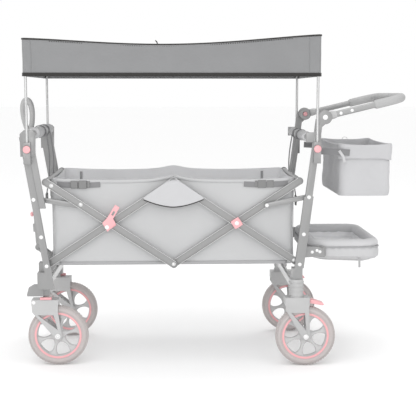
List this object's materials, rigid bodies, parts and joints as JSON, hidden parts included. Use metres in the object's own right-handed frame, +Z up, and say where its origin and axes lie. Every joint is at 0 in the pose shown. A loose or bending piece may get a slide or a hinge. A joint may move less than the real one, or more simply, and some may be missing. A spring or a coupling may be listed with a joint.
{
  "type": "folding wagon with pull handle",
  "caption": "Folding child wagon with a pull handle, push handle, sun canopy, rear basket and foot well.",
  "frame": {"origin": "on the floor below the middle of the overall length and width", "axes": "+X from the pull handle to the push handle, +Y to the wagon's right side, +Z up"},
  "size_m": [1.4613, 0.596, 1.226],
  "materials": {
    "frame": "satin grey powder coat",
    "plastic": "moulded grey plastic",
    "silver": "brushed bare aluminium",
    "coral": "coral pink moulded plastic",
    "tyre": "grey solid tyre",
    "tub_fabric": "light grey woven polyester",
    "canopy_fabric": "mid grey woven polyester with black piping",
    "foam": "grey foam rubber",
    "pad_fabric": "light grey padded sleeve"
  },
  "bodies": {
    "front_frame": {"front_post_left": "frame", "front_post_right": "frame", "front_upper_crossbar": "frame", "front_crossbar_pad": "pad_fabric", "front_lower_beam": "silver", "pull_handle_bracket": "frame", "tub_liner": "tub_fabric"},
    "front_lower_bars": {"front_lower_bar_left": "frame", "front_lower_bar_right": "frame"},
    "front_upper_bars": {"front_upper_bar_left": "frame", "front_upper_bar_right": "frame", "front_top_rod": "frame"},
    "rear_upper_bars": {"rear_upper_bar_left": "frame", "rear_upper_bar_right": "frame", "rear_top_rod": "frame"},
    "rear_lower_bars": {"rear_lower_bar_left": "frame", "rear_lower_bar_right": "frame"},
    "rear_frame": {"rear_post_left": "frame", "rear_post_right": "frame", "rear_upper_crossbar": "frame", "rear_crossbar_pad": "pad_fabric", "rear_lower_beam": "silver", "rear_fork_left": "plastic", "rear_fork_right": "plastic", "basket_bag": "tub_fabric"},
    "front_links": {"front_link_left": "frame", "front_link_right": "frame"},
    "rear_links": {"rear_link_left": "frame", "rear_link_right": "frame"},
    "fold_latch": {"fold_latch": "coral"},
    "pull_stem": {"pull_lower_tube": "frame"},
    "pull_top": {"pull_upper_tube": "silver", "pull_grip": "foam"},
    "pull_lock_button": {"pull_lock_button": "coral"},
    "push_handle": {"push_handle": "frame", "push_handle_grip": "foam"},
    "foot_well": {"foot_well": "tub_fabric"},
    "canopy_front": {"canopy_roof": "canopy_fabric", "front_canopy_hoop": "silver"},
    "canopy_rear": {"rear_canopy_hoop": "silver"},
    "caster_left": {"caster_fork_left": "plastic"},
    "swivel_lock_left": {"swivel_lock_left": "coral"},
    "front_wheel_left": {"front_tyre_left": "tyre", "front_rim_left": "plastic"},
    "rear_wheel_left": {"rear_tyre_left": "tyre", "rear_rim_left": "plastic"},
    "brake_pedal_left": {"brake_pedal_left": "coral"},
    "push_lock_button_left": {"push_lock_button_left": "coral"},
    "front_pole_button_left": {"front_pole_button_left": "coral"},
    "rear_pole_button_left": {"rear_pole_button_left": "coral"},
    "caster_right": {"caster_fork_right": "plastic"},
    "swivel_lock_right": {"swivel_lock_right": "coral"},
    "front_wheel_right": {"front_tyre_right": "tyre", "front_rim_right": "plastic"},
    "rear_wheel_right": {"rear_tyre_right": "tyre", "rear_rim_right": "plastic"},
    "brake_pedal_right": {"brake_pedal_right": "coral"},
    "push_lock_button_right": {"push_lock_button_right": "coral"},
    "front_pole_button_right": {"front_pole_button_right": "coral"},
    "rear_pole_button_right": {"rear_pole_button_right": "coral"}
  },
  "joints": [
    {"name": "fold", "type": "hinge", "parent": "front_frame", "child": "front_lower_bars", "pos_m": [-0.6031, 0, 0.387], "axis": [0, -1, 0], "range_deg": [0, 40], "deforming": ["tub_liner", "canopy_roof"]},
    {"name": "front_crossing", "type": "hinge", "parent": "front_lower_bars", "child": "front_upper_bars", "pos_m": [-0.3696, 0, 0.541], "axis": [0, -1, 0], "range_deg": [-80, 0]},
    {"name": "middle_joint", "type": "hinge", "parent": "front_upper_bars", "child": "rear_upper_bars", "pos_m": [-0.1361, 0, 0.387], "axis": [0, -1, 0], "range_deg": [0, 80]},
    {"name": "rear_crossing", "type": "hinge", "parent": "rear_upper_bars", "child": "rear_lower_bars", "pos_m": [0.0974, 0, 0.541], "axis": [0, -1, 0], "range_deg": [-80, 0]},
    {"name": "rear_pivot", "type": "hinge", "parent": "rear_lower_bars", "child": "rear_frame", "pos_m": [0.3309, 0, 0.387], "axis": [0, -1, 0], "range_deg": [0, 40]},
    {"name": "front_link_turn", "type": "hinge", "parent": "front_frame", "child": "front_links", "pos_m": [-0.6432, 0, 0.633], "axis": [0, -1, 0], "range_deg": [0, 71.2]},
    {"name": "rear_link_turn", "type": "hinge", "parent": "rear_frame", "child": "rear_links", "pos_m": [0.36202, 0, 0.638], "axis": [0, -1, 0], "range_deg": [-71.2, 0]},
    {"name": "latch_turn", "type": "hinge", "parent": "front_upper_bars", "child": "fold_latch", "pos_m": [-0.3811, -0.26, 0.529], "axis": [0, -1, 0], "range_deg": [0, 25]},
    {"name": "pull_swing", "type": "hinge", "parent": "front_frame", "child": "pull_stem", "pos_m": [-0.6681, 0, 0.415], "axis": [0, -1, 0], "range_deg": [0, 75]},
    {"name": "pull_telescope", "type": "slide", "parent": "pull_stem", "child": "pull_top", "axis": [-0.0576, 0, 0.9983], "range_m": [0, 0.19]},
    {"name": "pull_lock_press", "type": "slide", "parent": "pull_stem", "child": "pull_lock_button", "axis": [0.9983, 0, 0.0576], "range_m": [0, 0.002], "stiffness_N_per_m": 300, "springref_m": -0.002},
    {"name": "push_tilt", "type": "hinge", "parent": "rear_frame", "child": "push_handle", "pos_m": [0.4179, 0, 0.931], "axis": [0, 1, 0], "range_deg": [-65, 25]},
    {"name": "foot_well_fold", "type": "hinge", "parent": "rear_frame", "child": "foot_well", "pos_m": [0.3789, 0, 0.431], "axis": [0, -1, 0], "range_deg": [0, 36]},
    {"name": "canopy_lift", "type": "slide", "parent": "front_frame", "child": "canopy_front", "axis": [0, 0, 1], "range_m": [0, 0.06]},
    {"name": "canopy_lift_rear", "type": "slide", "parent": "rear_frame", "child": "canopy_rear", "axis": [0, 0, 1], "range_m": [0, 0.06]},
    {"name": "caster_swivel_left", "type": "hinge", "parent": "front_frame", "child": "caster_left", "pos_m": [-0.6201, -0.21, 0.266], "axis": [0, 0, 1], "continuous": true},
    {"name": "swivel_lock_slide_left", "type": "slide", "parent": "caster_left", "child": "swivel_lock_left", "axis": [0, 0, 1], "range_m": [0, 0.003]},
    {"name": "front_wheel_spin_left", "type": "hinge", "parent": "caster_left", "child": "front_wheel_left", "pos_m": [-0.5721, -0.21, 0.113], "axis": [0, 1, 0], "continuous": true},
    {"name": "rear_wheel_spin_left", "type": "hinge", "parent": "rear_frame", "child": "rear_wheel_left", "pos_m": [0.3569, -0.252, 0.113], "axis": [0, 1, 0], "continuous": true},
    {"name": "brake_press_left", "type": "hinge", "parent": "rear_frame", "child": "brake_pedal_left", "pos_m": [0.3719, -0.252, 0.244], "axis": [0, 1, 0], "range_deg": [0, 10]},
    {"name": "push_lock_press_left", "type": "slide", "parent": "push_handle", "child": "push_lock_button_left", "axis": [0, -1, 0], "range_m": [0, 0.003], "stiffness_N_per_m": 300, "springref_m": -0.002},
    {"name": "front_pole_press_left", "type": "slide", "parent": "front_frame", "child": "front_pole_button_left", "axis": [0, 1, 0], "range_m": [0, 0.003], "stiffness_N_per_m": 300, "springref_m": -0.002},
    {"name": "rear_pole_press_left", "type": "slide", "parent": "rear_frame", "child": "rear_pole_button_left", "axis": [0, 1, 0], "range_m": [0, 0.003], "stiffness_N_per_m": 300, "springref_m": -0.002},
    {"name": "caster_swivel_right", "type": "hinge", "parent": "front_frame", "child": "caster_right", "pos_m": [-0.6201, 0.21, 0.266], "axis": [0, 0, 1], "continuous": true},
    {"name": "swivel_lock_slide_right", "type": "slide", "parent": "caster_right", "child": "swivel_lock_right", "axis": [0, 0, 1], "range_m": [0, 0.003]},
    {"name": "front_wheel_spin_right", "type": "hinge", "parent": "caster_right", "child": "front_wheel_right", "pos_m": [-0.5721, 0.21, 0.113], "axis": [0, 1, 0], "continuous": true},
    {"name": "rear_wheel_spin_right", "type": "hinge", "parent": "rear_frame", "child": "rear_wheel_right", "pos_m": [0.3569, 0.252, 0.113], "axis": [0, 1, 0], "continuous": true},
    {"name": "brake_press_right", "type": "hinge", "parent": "rear_frame", "child": "brake_pedal_right", "pos_m": [0.3719, 0.252, 0.244], "axis": [0, 1, 0], "range_deg": [0, 10]},
    {"name": "push_lock_press_right", "type": "slide", "parent": "push_handle", "child": "push_lock_button_right", "axis": [0, 1, 0], "range_m": [0, 0.003], "stiffness_N_per_m": 300, "springref_m": -0.002},
    {"name": "front_pole_press_right", "type": "slide", "parent": "front_frame", "child": "front_pole_button_right", "axis": [0, -1, 0], "range_m": [0, 0.003], "stiffness_N_per_m": 300, "springref_m": -0.002},
    {"name": "rear_pole_press_right", "type": "slide", "parent": "rear_frame", "child": "rear_pole_button_right", "axis": [0, -1, 0], "range_m": [0, 0.003], "stiffness_N_per_m": 300, "springref_m": -0.002}
  ],
  "couplings": [
    {"joint": "front_crossing", "follows": "fold", "ratio": -2},
    {"joint": "middle_joint", "follows": "fold", "ratio": 2},
    {"joint": "rear_crossing", "follows": "fold", "ratio": -2},
    {"joint": "rear_pivot", "follows": "fold", "ratio": 1},
    {"joint": "front_link_turn", "follows": "fold", "ratio": 1.78},
    {"joint": "rear_link_turn", "follows": "fold", "ratio": -1.78},
    {"joint": "canopy_lift_rear", "follows": "canopy_lift", "ratio": 1}
  ]
}
